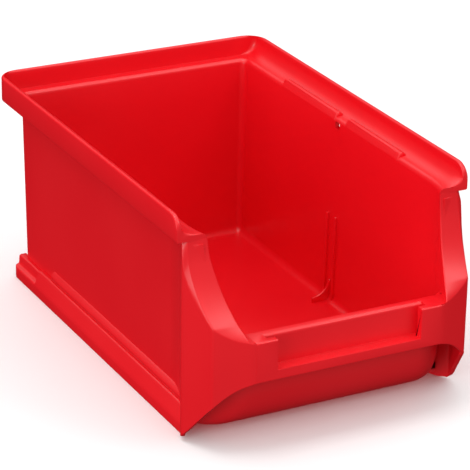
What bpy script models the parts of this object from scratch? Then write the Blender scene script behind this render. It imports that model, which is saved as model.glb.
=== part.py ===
"""Hanging parts bin: an open-fronted, injection-moulded small-parts bin.

The real bin is one moulding. It is modelled here as its natural regions, each a closed solid of
its own, set a hair's breadth apart. Dimensions are in millimetres and are turned into metres by
the helpers. Frame: +Z up, the open front faces -Y, X is the width, and the origin is the middle
of the resting face.
"""
import math

import bmesh
import bpy
from mathutils import Matrix, Vector

MM = 0.001

# Overall size
LENGTH = 160.0
WIDTH = 102.0
HEIGHT = 75.0
WALL = 1.6
GAP = 0.3                     # between neighbouring regions of the one moulding

Y_BACK = LENGTH / 2
Y_FRONT = -LENGTH / 2
X_SIDE = WIDTH / 2

# Rim: an upstanding lip outside a narrow ledge
LIP_THICK = 1.7
LIP_Z0 = 66.5
LIP_FRONT_Y = -62.3
LIP_NOSE_R = 5.0
RIM_CORNER_R = 7.5
LEDGE_Z0 = 66.5
LEDGE_Z1 = 68.2
WALL_TOP_Z = LEDGE_Z0 - GAP
HOOK_Z0 = 61.5                # the back lip is turned down here, to hang on a louvre
HOOK_HALF = 36.0

# Tub: inner faces of the walls at the rim and at the floor
INNER_X_TOP = 42.6
INNER_X_FLOOR = 41.7
INNER_Y_TOP = 73.9
INNER_Y_FLOOR = 73.1
FLOOR_Z0 = 0.2
FLOOR_Z1 = FLOOR_Z0 + WALL
FLOOR_FRONT_Y = -52.6
SIDE_DRAFT = math.atan((INNER_X_TOP - INNER_X_FLOOR) / (WALL_TOP_Z - FLOOR_Z1))
BACK_DRAFT = math.atan((INNER_Y_TOP - INNER_Y_FLOOR) / (WALL_TOP_Z - FLOOR_Z1))

# Belly: the curved front wall below the opening
BELLY_R = 19.0                # outside radius
BELLY_CY = -53.2
BELLY_CZ = FLOOR_Z0 + BELLY_R
BELLY_TOP_Y = -73.5           # outside face under the front lip
LIP_TOP_Z = 37.2
BELLY_TOP_Z = LIP_TOP_Z - WALL - GAP

# Corner post: the inner face swings inwards from the side wall to the front lip
POST_REAR = (41.3, -61.4)
POST_FRONT = (34.6, -79.0)
POST_RISE = [(-62.2, 66.2), (-63.7, 60.0), (-66.0, 55.0), (-68.7, 50.0), (-71.4, 46.0),
             (-74.6, 42.3), (-77.0, 40.0), (-79.0, 38.3)]    # (y, z) of its sloping front edge

# Corner skirt: (x, y) stations of its outside face, from the flare round the knuckle at
# y = -75 to the front panel, each with the heights of its lower and upper edge
SKIRT_EDGES = [(49.4, -62.0, 2.6, 66.2), (48.7, -64.0, 4.4, 58.2), (48.0, -66.1, 6.3, 54.2),
               (47.2, -68.4, 8.4, 49.9), (46.5, -70.6, 10.6, 46.8), (45.7, -73.0, 13.3, 44.4),
               (45.0, -75.0, 15.6, 42.3), (42.8, -75.9, 17.3, 40.6), (40.2, -77.0, 19.4, 39.2),
               (37.4, -78.2, 21.7, 38.1), (35.0, -79.1, 23.2, 37.5), (33.1, -79.9, 23.7, 37.2)]
FLARE_START = (44.5, -44.0)   # plan of the concave flare that meets the skirt's rear edge
FLARE_END = (48.1, -60.2)
FLARE_INSIDE = ((44.5, -50.0), (46.9, -60.9))

# Front label holder: a frame, the pocket behind it that is open at its top, and a back plate
PANEL_HALF = 32.2
PANEL_Z0 = 23.7
PANEL_BACK_Y = -73.8
FRAME_THICK = 2.5
RECESS_HALF = 25.3
RECESS_Z0 = 27.1
POCKET_HALF = 28.5
POCKET_FACE_Y = -75.4         # front face of the back plate and of the lip

# Stacking rails along the bottom of the sides
RAIL_X0 = 43.7
RAIL_X1 = 47.3
RAIL_Z1 = 3.4
FOOT_WALL = 1.2               # the foot under the rail's outer edge, hollow behind it
FOOT_STEP_Z = 1.8
RAIL_FRONT_Y = -57.0
RAIL_BACK_Y = 75.2
RUNNER_BACK_Y = 57.0
RUNNER = [(43.75, 3.7), (47.3, 3.7), (45.3, 8.2), (43.75, 8.2)]
SHOULDER = [(43.95, 8.5), (45.1, 8.5), (44.9, 9.7), (44.2, 11.4)]
SHOULDER_BACK_Y = 72.0

# Raised guide beads along the side ledges, in two lengths with the divider notch between them
BEAD_X1 = 45.8
BEAD = [(INNER_X_TOP, LEDGE_Z0), (INNER_X_TOP, 68.6), (43.7, 69.6), (44.6, 69.8), (45.3, 69.3),
        (BEAD_X1, LEDGE_Z1), (BEAD_X1, LEDGE_Z0)]
BEAD_SPANS = {"front": (-33.0, 1.7), "rear": (8.2, 46.0)}

# Divider slot: two ribs on each side wall, a foot between them, and a small window at the top
RIB_Y = {"rear": 9.2, "front": 3.7}
RIB_WIDE = 0.9
RIB_HIGH = 0.8
RIB_Z0 = 3.4
RIB_Z1 = 33.5
DIVIDER_FOOT_Y = 6.4
DIVIDER_FOOT_REACH = 6.6
DIVIDER_FOOT_TOE = 1.6
WINDOW_Y = (4.6, 7.6)
WINDOW_Z0 = 64.6

RED = (0.62, 0.006, 0.012, 1.0)


# ---------------------------------------------------------------- helpers
def clear_scene():
    for old in list(bpy.data.objects):
        bpy.data.objects.remove(old, do_unlink=True)


def new_collection(name):
    group = bpy.data.collections.new(name)
    bpy.context.scene.collection.children.link(group)
    return group


def red_plastic(name):
    """Each sub-part's own copy of the same red polypropylene."""
    material = bpy.data.materials.new(name)
    material.use_nodes = True
    shader = material.node_tree.nodes["Principled BSDF"]
    shader.inputs["Base Color"].default_value = RED
    shader.inputs["Roughness"].default_value = 0.32
    shader.inputs["Metallic"].default_value = 0.0
    return material


def finish(name, data):
    """Link the data as a named object with its own material."""
    obj = bpy.data.objects.new(name, data)
    data.materials.append(red_plastic(name + "_red"))
    BIN.objects.link(obj)
    obj.parent = ROOT
    return obj


def arc(cx, cy, radius, start, stop, steps):
    """Points on a circular arc, with its angles in degrees."""
    angles = [math.radians(start + (stop - start) * i / steps) for i in range(steps + 1)]
    return [(cx + radius * math.cos(a), cy + radius * math.sin(a)) for a in angles]


def plate(name, outline, thickness, turn, middle):
    """A flat closed outline, given its thickness. turn maps outline x, y and normal to the bin."""
    curve = bpy.data.curves.new(name, "CURVE")
    curve.dimensions = "2D"
    curve.fill_mode = "BOTH"
    curve.extrude = thickness * MM / 2
    spline = curve.splines.new("POLY")
    spline.points.add(len(outline) - 1)
    for point, (u, v) in zip(spline.points, outline):
        point.co = (u * MM, v * MM, 0.0, 1.0)
    spline.use_cyclic_u = True
    obj = finish(name, curve)
    obj.matrix_local = Matrix.Translation(Vector(middle) * MM) @ turn
    return obj


# outline x, y -> bin X, Y (a plan), X, Z (seen from the front) and Y, Z (seen from the side)
PLAN = Matrix.Identity(4)
FRONT_VIEW = Matrix.Rotation(math.radians(90), 4, "X")
SIDE_VIEW = Matrix.Rotation(math.radians(90), 4, "Z") @ Matrix.Rotation(math.radians(90), 4, "X")


def bar(name, section, y0, y1):
    """A section drawn in X, Z and run along the length from y0 to y1."""
    return plate(name, section, y1 - y0, FRONT_VIEW, (0.0, (y0 + y1) / 2, 0.0))


def block(name, x_span, y_span, z_span):
    """A plain box from a cube primitive."""
    mesh = bpy.data.meshes.new(name)
    shape = bmesh.new()
    bmesh.ops.create_cube(shape, size=1.0)
    size = [(hi - lo) * MM for lo, hi in (x_span, y_span, z_span)]
    bmesh.ops.scale(shape, vec=size, verts=shape.verts)
    shape.to_mesh(mesh)
    shape.free()
    obj = finish(name, mesh)
    obj.location = [(lo + hi) / 2 * MM for lo, hi in (x_span, y_span, z_span)]
    return obj


def sheet(name, columns, side, thickness=WALL):
    """A thin wall lofted through columns of points and thickened inwards.

    Every column runs the same way, and the columns are ordered so that the face looks outwards
    on the right-hand side (side = 1). The left-hand sheet is its mirror image.
    """
    mesh = bpy.data.meshes.new(name)
    shape = bmesh.new()
    grid = [[shape.verts.new((side * x * MM, y * MM, z * MM)) for x, y, z in column]
            for column in columns]
    for left, right in zip(grid, grid[1:]):
        for low in range(len(left) - 1):
            corners = [left[low], right[low], right[low + 1], left[low + 1]]
            shape.faces.new(corners if side > 0 else corners[::-1])
    shape.to_mesh(mesh)
    shape.free()
    obj = finish(name, mesh)
    solid = obj.modifiers.new("Thickness", "SOLIDIFY")
    solid.thickness = thickness * MM
    solid.offset = -1.0
    solid.use_even_offset = True
    return obj


def spread(low, high, steps):
    """Evenly spaced values from low to high, both included."""
    return [low + (high - low) * i / steps for i in range(steps + 1)]


def side_name(side):
    return "right" if side > 0 else "left"


# ---------------------------------------------------------------- tub
def tub_outer_x(z):
    """Outside half width of the tub at height z."""
    return INNER_X_FLOOR + WALL + (z - FLOOR_Z1) * math.tan(SIDE_DRAFT)


def belly_z(y):
    """Height of the belly's outside face at y, up to the front of its curve."""
    run = min(max((BELLY_CY - y) / BELLY_R, 0.0), 1.0)
    return BELLY_CZ - BELLY_R * math.sqrt(1.0 - run * run)


def build_floor():
    half = INNER_X_FLOOR + WALL
    back = INNER_Y_FLOOR + WALL
    block("floor_pan", (-half, half), (FLOOR_FRONT_Y, back), (FLOOR_Z0, FLOOR_Z1))


def build_back_wall():
    half = INNER_X_FLOOR + WALL
    low = FLOOR_Z1 + GAP
    outline = [(-half, low), (half, low), (tub_outer_x(WALL_TOP_Z), WALL_TOP_Z),
               (-tub_outer_x(WALL_TOP_Z), WALL_TOP_Z)]
    tilt = Matrix.Rotation(-BACK_DRAFT, 4, "X") @ FRONT_VIEW
    foot = INNER_Y_FLOOR + WALL / 2 - FLOOR_Z1 * math.tan(BACK_DRAFT)
    plate("back_wall", outline, WALL, tilt, (0.0, foot, 0.0))


def side_wall_frame(side, offset):
    """Turn and place for a plate lying in a side wall, offset outwards from its mid-plane."""
    tilt = Matrix.Rotation(side * SIDE_DRAFT, 4, "Y") @ SIDE_VIEW
    foot = INNER_X_FLOOR + WALL / 2 + offset - FLOOR_Z1 * math.tan(SIDE_DRAFT)
    return tilt, (side * foot, 0.0, 0.0)


def build_side_wall(side):
    """Side wall, with the divider window as a notch in its top edge."""
    low = FLOOR_Z1 + GAP
    post_y = POST_REAR[1] + GAP
    floor_end = FLOOR_FRONT_Y - GAP
    window = [(WINDOW_Y[1], WALL_TOP_Z), (WINDOW_Y[1], WINDOW_Z0),
              (WINDOW_Y[0], WINDOW_Z0), (WINDOW_Y[0], WALL_TOP_Z)]
    outline = [(floor_end, low), (INNER_Y_FLOOR - GAP, low), (INNER_Y_TOP - GAP, WALL_TOP_Z)]
    outline += window + [(post_y, WALL_TOP_Z)]
    outline += [(y, belly_z(y)) for y in spread(post_y, floor_end, 4)]
    turn, middle = side_wall_frame(side, 0.0)
    plate(side_name(side) + "_side_wall", outline, WALL, turn, middle)


def build_belly():
    """Curved front wall, lofted up from the floor and narrowing between the corner posts."""
    profile = [(y, z) for y, z in arc(BELLY_CY, BELLY_CZ, BELLY_R, 268, 180, 12)]
    profile.append((BELLY_TOP_Y, BELLY_TOP_Z))
    columns = []
    for share in spread(-1.0, 1.0, 8):
        columns.append([(share * (min(post_x(y), INNER_X_FLOOR) - GAP), y, z)
                        for y, z in profile])
    sheet("front_belly_wall", columns, 1)


# ---------------------------------------------------------------- front corners
def post_x(y):
    """Half width of the post's inner face at y."""
    (x0, y0), (x1, y1) = POST_REAR, POST_FRONT
    return x0 + (x1 - x0) * (y - y0) / (y1 - y0)


def build_post(side):
    """Inner face of the front corner, swung in from the side wall, under its sloping edge."""
    inset = WALL + 3.0 * GAP
    (x0, y0), (x1, y1) = POST_REAR, POST_FRONT
    along = Vector((side * (x1 - x0), y1 - y0, 0.0)).normalized()
    up = Vector((0.0, 0.0, 1.0))
    turn = Matrix((along, up, along.cross(up))).transposed().to_4x4()
    outward = Vector((-side * along.y, -abs(along.x), 0.0))
    middle = Vector((side * x0, y0, 0.0)) + outward * (WALL / 2)
    stretch = 1.0 / abs(along.y)
    lip_y = BELLY_TOP_Y + WALL + GAP
    top = [(y + inset, z - inset) for y, z in POST_RISE[2:-1]]
    outline = [(y0, belly_z(y0)), (y0, POST_RISE[1][1] - inset)] + top
    outline += [(top[-1][0], LIP_TOP_Z + GAP), (lip_y, LIP_TOP_Z + GAP)]
    outline += [(y, belly_z(y)) for y in spread(lip_y, y0 - 1.0, 5)]
    plate(side_name(side) + "_corner_post", [((y0 - y) * stretch, z) for y, z in outline],
          WALL, turn, middle)


def build_post_flange(side):
    """Sloping face between the post's inner edge and the skirt's upper edge."""
    outer = [(x - WALL - GAP, y + 0.9, top - 0.3) for x, y, bottom, top in SKIRT_EDGES
             if top < WALL_TOP_Z and x > POST_FRONT[0] + WALL + GAP]
    inner = []
    for i in range(len(outer)):
        share = i / (len(outer) - 1)
        position = share * (len(POST_RISE) - 1)
        k = min(int(position), len(POST_RISE) - 2)
        blend = position - k
        y = POST_RISE[k][0] * (1 - blend) + POST_RISE[k + 1][0] * blend
        z = POST_RISE[k][1] * (1 - blend) + POST_RISE[k + 1][1] * blend
        inner.append((post_x(y), y, z))
    sheet(side_name(side) + "_post_flange", [inner[::-1], outer[::-1]], side)


def build_skirt(side):
    """Outside of the front corner, hanging from the flange down to a rising lower edge."""
    columns = [[(x, y, h) for h in spread(bottom, top, 4)] for x, y, bottom, top in SKIRT_EDGES]
    sheet(side_name(side) + "_corner_skirt", columns[::-1], side)


def swept(start, end, steps):
    """Plan points of a line that leaves the side wall gently and turns outwards."""
    (x0, y0), (x1, y1) = start, end
    return [(x0 + (x1 - x0) * share ** 2.4, y0 + (y1 - y0) * share)
            for share in spread(0.0, 1.0, steps)]


def build_flare(side):
    """Concave flare that carries the side wall out to the rear edge of the corner skirt."""
    plan = swept(FLARE_START, FLARE_END, 7) + swept(*FLARE_INSIDE, 5)[::-1]
    low = SHOULDER[-1][1] + GAP
    plate(side_name(side) + "_corner_flare", [(side * x, y) for x, y in plan],
          WALL_TOP_Z - low, PLAN, (0.0, 0.0, (WALL_TOP_Z + low) / 2))


# ---------------------------------------------------------------- front
def build_front_lip():
    """Flat top edge that ties the belly to the label holder, rounded over the pocket."""
    back = BELLY_TOP_Y + WALL
    section = [(back, LIP_TOP_Z - WALL), (back, LIP_TOP_Z - 0.4), (back - 0.4, LIP_TOP_Z)]
    section += arc(POCKET_FACE_Y + 1.0, LIP_TOP_Z - 1.0, 1.0, 90, 180, 4)
    section.append((POCKET_FACE_Y, LIP_TOP_Z - WALL))
    plate("front_lip", section, 2 * PANEL_HALF, SIDE_VIEW, (0.0, 0.0, 0.0))


def holder_outline(half):
    """U-shaped front view of the label holder round an opening of the given half width."""
    return [(-PANEL_HALF, PANEL_Z0), (PANEL_HALF, PANEL_Z0), (PANEL_HALF, LIP_TOP_Z),
            (half, LIP_TOP_Z), (half, RECESS_Z0), (-half, RECESS_Z0), (-half, LIP_TOP_Z),
            (-PANEL_HALF, LIP_TOP_Z)]


def build_label_holder():
    """Back plate, the walls of the label pocket, and the frame that holds the label in."""
    block("label_panel", (-PANEL_HALF, PANEL_HALF), (POCKET_FACE_Y, PANEL_BACK_Y),
          (PANEL_Z0, LIP_TOP_Z - WALL - GAP))
    back, face = POCKET_FACE_Y - GAP, Y_FRONT + FRAME_THICK + GAP
    plate("label_pocket", holder_outline(POCKET_HALF), back - face, FRONT_VIEW,
          (0.0, (back + face) / 2, 0.0))
    plate("label_frame", holder_outline(RECESS_HALF), FRAME_THICK, FRONT_VIEW,
          (0.0, Y_FRONT + FRAME_THICK / 2, 0.0))


# ---------------------------------------------------------------- rim
def build_side_rim(side):
    """Ledge, upstanding lip with its rounded nose, and the two guide beads."""
    name = side_name(side)
    back = Y_BACK - RIM_CORNER_R - GAP
    nose = arc(LIP_FRONT_Y + LIP_NOSE_R, HEIGHT - LIP_NOSE_R, LIP_NOSE_R, 90, 180, 8)
    outline = [(LIP_FRONT_Y, LIP_Z0), (back, LIP_Z0), (back, HEIGHT)] + nose
    middle = side * (X_SIDE - LIP_THICK / 2)
    plate(name + "_rim_lip", outline, LIP_THICK, SIDE_VIEW, (middle, 0.0, 0.0))
    track = BEAD_X1 + GAP
    outer = X_SIDE - LIP_THICK - GAP
    plan = [(outer, LIP_FRONT_Y), (outer, back), (INNER_X_TOP, back)]
    for place, (y0, y1) in reversed(BEAD_SPANS.items()):
        plan += [(INNER_X_TOP, y1 + GAP), (track, y1 + GAP), (track, y0 - GAP),
                 (INNER_X_TOP, y0 - GAP)]
        bar(name + "_guide_bead_" + place, [(side * x, z) for x, z in BEAD], y0, y1)
    plan.append((INNER_X_TOP, LIP_FRONT_Y))
    plate(name + "_rim_ledge", [(side * x, y) for x, y in plan], LEDGE_Z1 - LEDGE_Z0, PLAN,
          (0.0, 0.0, (LEDGE_Z0 + LEDGE_Z1) / 2))


def rounded_back(half, back, radius, front):
    """Plan of the rim's back run from the right round to the left, with rounded corners."""
    right = arc(half - radius, back - radius, radius, 0, 90, 8)
    left = arc(-half + radius, back - radius, radius, 90, 180, 8)
    return [(half, front)] + right + left + [(-half, front)]


def build_back_rim():
    """Back ledge, back lip with its two corners, and the turned-down lip that hangs the bin."""
    inner = X_SIDE - LIP_THICK
    front = Y_BACK - RIM_CORNER_R
    plan = rounded_back(X_SIDE, Y_BACK, RIM_CORNER_R, front)
    plan += rounded_back(inner, Y_BACK - LIP_THICK, RIM_CORNER_R - LIP_THICK, front)[::-1]
    plate("back_rim_lip", plan, HEIGHT - LIP_Z0, PLAN, (0.0, 0.0, (HEIGHT + LIP_Z0) / 2))
    ledge = rounded_back(inner - GAP, Y_BACK - LIP_THICK - GAP, RIM_CORNER_R - LIP_THICK - GAP,
                         front)
    ledge += [(-INNER_X_TOP, front), (-INNER_X_TOP, INNER_Y_TOP), (INNER_X_TOP, INNER_Y_TOP),
              (INNER_X_TOP, front)]
    plate("back_rim_ledge", ledge, LEDGE_Z1 - LEDGE_Z0, PLAN,
          (0.0, 0.0, (LEDGE_Z0 + LEDGE_Z1) / 2))
    block("hanging_lip", (-HOOK_HALF, HOOK_HALF), (Y_BACK - LIP_THICK, Y_BACK),
          (HOOK_Z0, LIP_Z0 - GAP))


# ---------------------------------------------------------------- bottom rails
def build_rail(side):
    """Foot rail, the sloping runner on it, and the small shoulder under the side wall."""
    name = side_name(side)
    foot_x = RAIL_X1 - FOOT_WALL
    section = [(RAIL_X0, FOOT_STEP_Z), (foot_x, FOOT_STEP_Z), (foot_x, 0.0), (RAIL_X1, 0.0),
               (RAIL_X1, RAIL_Z1), (RAIL_X0, RAIL_Z1)]
    bar(name + "_foot_rail", [(side * x, z) for x, z in section], RAIL_FRONT_Y, RAIL_BACK_Y)
    bar(name + "_rail_runner", [(side * x, z) for x, z in RUNNER], RAIL_FRONT_Y, RUNNER_BACK_Y)
    bar(name + "_wall_shoulder", [(side * x, z) for x, z in SHOULDER],
        RAIL_FRONT_Y, SHOULDER_BACK_Y)


# ---------------------------------------------------------------- divider slot
def build_divider_slot(side):
    """Two low ribs and the concave foot between them, on the inside of a side wall."""
    name = side_name(side)
    turn, middle = side_wall_frame(side, -(WALL / 2 + GAP + RIB_HIGH / 2))
    for place, y in RIB_Y.items():
        outline = [(y - RIB_WIDE / 2, RIB_Z0), (y + RIB_WIDE / 2, RIB_Z0),
                   (y + RIB_WIDE / 2, RIB_Z1), (y - RIB_WIDE / 2, RIB_Z1)]
        plate(name + "_divider_rib_" + place, outline, RIB_HIGH, turn, middle)
    wall_x = INNER_X_FLOOR - GAP
    low = FLOOR_Z1 + GAP
    reach = DIVIDER_FOOT_REACH
    hollow = arc(wall_x - reach, low + DIVIDER_FOOT_TOE + reach, reach, 270, 352, 8)
    section = [(wall_x, low), (wall_x - reach, low)] + hollow + [(wall_x, hollow[-1][1])]
    bar(name + "_divider_foot", [(side * x, z) for x, z in section],
        DIVIDER_FOOT_Y - RIB_WIDE / 2, DIVIDER_FOOT_Y + RIB_WIDE / 2)


# ---------------------------------------------------------------- assemble
clear_scene()
BIN = new_collection("hanging_parts_bin")
ROOT = bpy.data.objects.new("bin_origin", None)
BIN.objects.link(ROOT)

build_floor()
build_back_wall()
build_belly()
build_front_lip()
build_label_holder()
build_back_rim()
for hand in (-1, 1):
    build_side_wall(hand)
    build_post(hand)
    build_post_flange(hand)
    build_skirt(hand)
    build_flare(hand)
    build_side_rim(hand)
    build_rail(hand)
    build_divider_slot(hand)
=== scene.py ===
"""Hanging parts bin: the finished look of a one-piece moulded bin for small parts.

Laid out as a Blender add-on with one operator for each region of the moulding and one for the
stage. Run as a script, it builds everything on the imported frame. Lengths in the geometry code
are in millimetres, and become metres where a mesh is made.
"""
import math

import bmesh
import bpy
from bpy.props import FloatProperty, FloatVectorProperty, PointerProperty
from mathutils import Matrix, Vector


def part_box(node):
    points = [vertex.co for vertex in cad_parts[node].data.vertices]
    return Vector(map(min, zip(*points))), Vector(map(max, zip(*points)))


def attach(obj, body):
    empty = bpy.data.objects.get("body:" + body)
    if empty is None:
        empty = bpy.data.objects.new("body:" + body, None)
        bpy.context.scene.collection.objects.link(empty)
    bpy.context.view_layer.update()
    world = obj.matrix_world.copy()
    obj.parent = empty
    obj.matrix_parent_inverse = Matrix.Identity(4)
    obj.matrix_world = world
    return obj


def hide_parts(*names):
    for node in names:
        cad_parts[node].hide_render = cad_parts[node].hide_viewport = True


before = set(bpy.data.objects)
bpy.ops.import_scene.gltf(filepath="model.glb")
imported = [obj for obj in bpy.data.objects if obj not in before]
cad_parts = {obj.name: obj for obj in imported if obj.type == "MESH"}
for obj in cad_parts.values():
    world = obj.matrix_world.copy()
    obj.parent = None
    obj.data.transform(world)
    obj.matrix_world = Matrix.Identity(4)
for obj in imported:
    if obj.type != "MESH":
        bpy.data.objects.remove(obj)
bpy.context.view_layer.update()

bl_info = {
    "name": "Hanging Parts Bin",
    "version": (1, 0, 0),
    "blender": (4, 5, 0),
    "location": "3D View > Sidebar > Parts Bin",
    "description": "Builds a moulded stacking and hanging bin with its studio stage",
    "category": "Object",
}

MM = 0.001


def span(node):
    """Lowest and highest corner of a frame node, in millimetres."""
    low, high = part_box(node)
    return low / MM, high / MM


LIP_LOW, LIP_HIGH = span("right_rim_lip")
LEDGE_LOW, LEDGE_HIGH = span("right_rim_ledge")
FLOOR_LOW, FLOOR_HIGH = span("floor_pan")
FRAME_LOW, FRAME_HIGH = span("label_frame")
PANEL_LOW, PANEL_HIGH = span("label_panel")
RAIL_LOW, RAIL_HIGH = span("right_foot_rail")
RUNNER_BACK_Y = span("right_rail_runner")[1].y
SHOULDER_LOW, SHOULDER_HIGH = span("right_wall_shoulder")
HOOK_LOW, HOOK_HIGH = span("hanging_lip")
BEAD_NODES = ("right_guide_bead_front", "right_guide_bead_rear")
RIB_NODES = ("right_divider_rib_front", "right_divider_rib_rear")
BACK_Y = span("back_rim_lip")[1].y
BELLY_TOP_Y = span("front_belly_wall")[0].y

WALL = 1.6                      # wall thickness of the moulding
DRAFT_X = (41.7, 42.6)          # inner half width at the floor and at the rim
DRAFT_Y = (73.1, 73.9)          # inside of the back wall at the floor and at the rim
TUB_CORNER_IN = 2.2             # upright corners of the tub, inside and outside
TUB_CORNER_OUT = 3.8
LIP_CORNER_IN = 2.3             # upright corners of the rim lip
LIP_CORNER_OUT = 7.5
RIM_NOSE_R = 5.0                # rounded front end of the rim lip
BELLY_R = 19.0                  # curved front wall, seen from the side
BELLY_CY = -53.2
POST_REAR = (41.3, -61.4)       # plan line of the corner posts' inner face
POST_SLOPE = 0.381
POST_BEND = 2.4                 # how widely the side wall bends into the post
NOSE_FOOT_R = 2.5               # the nose curves in under itself over this height
NOSE_CORNER_IN = [(20.0, 7.4), (34.0, 1.3)]     # (height, radius) of its upright corners
NOSE_CORNER_OUT = 9.0
WALL_FOOT = [(-62.5, 22.0), (-56.0, 9.0), (-50.0, 3.2), (-46.0, 0.0)]   # (place, cut height)
RECESS_FLOOR = 27.1             # bottom of the label pocket
RECESS_HALF = 25.3              # half width of the opening in the label frame
POCKET_HALF = 28.5              # half width of the pocket behind it
RAIL_LEAD = 1.0                 # the rails run this far into the flare, ahead of their nodes
SHOULDER_FADE = 24.0            # the shoulder ridge dies into the wall this far before its end
HOLE_Y = (4.6, 7.6)             # small hole through each side wall, under the rim
HOLE_Z = (64.5, 67.1)

SOFTBOXES = (("top_softbox", (-0.2, 0.0, 1.2), 0.4, 2.6),       # name, place, size, watts
             ("front_softbox", (0.5, -0.6, 0.9), 0.35, 1.2),
             ("side_fill", (-1.2, -0.6, 0.35), 0.7, 6.5))
CAMERA_PLACE = (-0.35703, -0.68285, 0.36561)
CAMERA_TURN = (-27.643, 23.158, 0.971)          # azimuth, elevation and roll in degrees
CAMERA_LENS = 193.46
CAMERA_SHIFT = (0.0035, -0.0001)


# ---------------------------------------------------------------- properties
class PartsBinSizes(bpy.types.PropertyGroup):
    """Radii of the moulding."""
    edge_round: FloatProperty(
        name="Edge Rounding", description="Radius of the moulding's small outside edges",
        default=0.45 * MM, min=0.05 * MM, max=1.0 * MM, unit="LENGTH", precision=5)
    lip_fillet: FloatProperty(
        name="Lip Fillet", description="Radius between the stacking ledge and the rim lip",
        default=5.0 * MM, min=1.0 * MM, max=6.0 * MM, unit="LENGTH", precision=5)
    ledge_round: FloatProperty(
        name="Ledge Rounding", description="Radius of the ledge's edge into the bin",
        default=1.6 * MM, min=0.3 * MM, max=1.7 * MM, unit="LENGTH", precision=5)
    floor_fillet: FloatProperty(
        name="Floor Fillet", description="Radius between the floor and the walls",
        default=2.5 * MM, min=0.5 * MM, max=5.0 * MM, unit="LENGTH", precision=5)


class PartsBinPlastic(bpy.types.PropertyGroup):
    """Colour and surface of the plastic."""
    red: FloatVectorProperty(
        name="Plastic Red", description="Colour of the self-coloured polypropylene",
        subtype="COLOR", size=3, default=(0.76, 0.0045, 0.011), min=0.0, max=1.0)
    red_thin: FloatVectorProperty(
        name="Thin Red", description="Brighter red where the plastic is thin or worn smooth",
        subtype="COLOR", size=3, default=(0.78, 0.005, 0.0115), min=0.0, max=1.0)
    roughness: FloatProperty(
        name="Roughness", description="Gloss of the moulded surface",
        default=0.295, min=0.05, max=1.0, subtype="FACTOR")
    grain: FloatProperty(
        name="Grain Size", description="Spacing of the fine texture left by the mould",
        default=0.35 * MM, min=0.05 * MM, max=2.0 * MM, unit="LENGTH", precision=5)


# ---------------------------------------------------------------- shape helpers
def ramp(count):
    """Evenly spaced values from 0 to 1."""
    return [i / count for i in range(count + 1)]


def blend(a, b, share):
    """The value a share of the way from a to b."""
    return a + (b - a) * share


def eased(keys, u):
    """Smooth monotone curve through (u, value) keys."""
    if u <= keys[0][0]:
        return keys[0][1]
    if u >= keys[-1][0]:
        return keys[-1][1]
    k = max(i for i in range(len(keys) - 1) if keys[i][0] <= u)
    steps = [(b[1] - a[1]) / (b[0] - a[0]) for a, b in zip(keys, keys[1:])]

    def slope(i):
        if i == 0:
            return steps[0]
        if i == len(steps):
            return steps[-1]
        before, after = steps[i - 1], steps[i]
        return 0.0 if before * after <= 0 else 2 * before * after / (before + after)

    (u0, v0), (u1, v1) = keys[k], keys[k + 1]
    t, width = (u - u0) / (u1 - u0), u1 - u0
    return ((2 * t ** 3 - 3 * t ** 2 + 1) * v0 + (t ** 3 - 2 * t ** 2 + t) * width * slope(k)
            + (3 * t ** 2 - 2 * t ** 3) * v1 + (t ** 3 - t ** 2) * width * slope(k + 1))


def rounded(corners, radii, steps=4):
    """An outline with its corners eased into curves. A radius is the length cut off a side."""
    outline = []
    count = len(corners)
    for i, (corner, radius) in enumerate(zip(corners, radii)):
        corner = Vector(corner)
        if radius == 0:
            outline.append(corner)
            continue
        before = Vector(corners[i - 1]) - corner
        after = Vector(corners[(i + 1) % count]) - corner
        start = corner + before.normalized() * min(radius, before.length * 0.45)
        end = corner + after.normalized() * min(radius, after.length * 0.45)
        for t in ramp(steps):
            outline.append(start * (1 - t) ** 2 + corner * 2 * t * (1 - t) + end * t * t)
    return outline


def loft(rings):
    """A closed shape through rings of equal count, capped at both ends."""
    verts = [Vector(p) for ring in rings for p in ring]
    n = len(rings[0])
    faces = []
    for k in range(len(rings) - 1):
        for j in range(n):
            a, b = k * n + j, k * n + (j + 1) % n
            faces.append((a, b, b + n, a + n))
    faces.append(tuple(range(n)))
    faces.append(tuple(range((len(rings) - 1) * n, len(rings) * n)))
    return verts, faces


def mirrored(rings):
    """A half set of rings, from one side to the middle, and its mirror image."""
    other = [[Vector((-p[0], p[1], p[2])) for p in ring] for ring in rings[::-1]]
    return rings + other[1:]


def flipped(shape):
    """The mirror image of a shape, on the other side of the bin."""
    verts, faces = shape
    return [Vector((-v[0], v[1], v[2])) for v in verts], faces


def fill(built, shape):
    """Add a shape in millimetres to mesh data in metres."""
    verts, faces = shape
    made = [built.verts.new(Vector(v) * MM) for v in verts]
    for face in faces:
        built.faces.new([made[i] for i in face])


def new_object(name, built):
    """A mesh object in the scene, from finished mesh data."""
    mesh = bpy.data.meshes.new(name)
    built.to_mesh(mesh)
    built.free()
    made = bpy.data.objects.new(name, mesh)
    bpy.context.scene.collection.objects.link(made)
    return made


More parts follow.
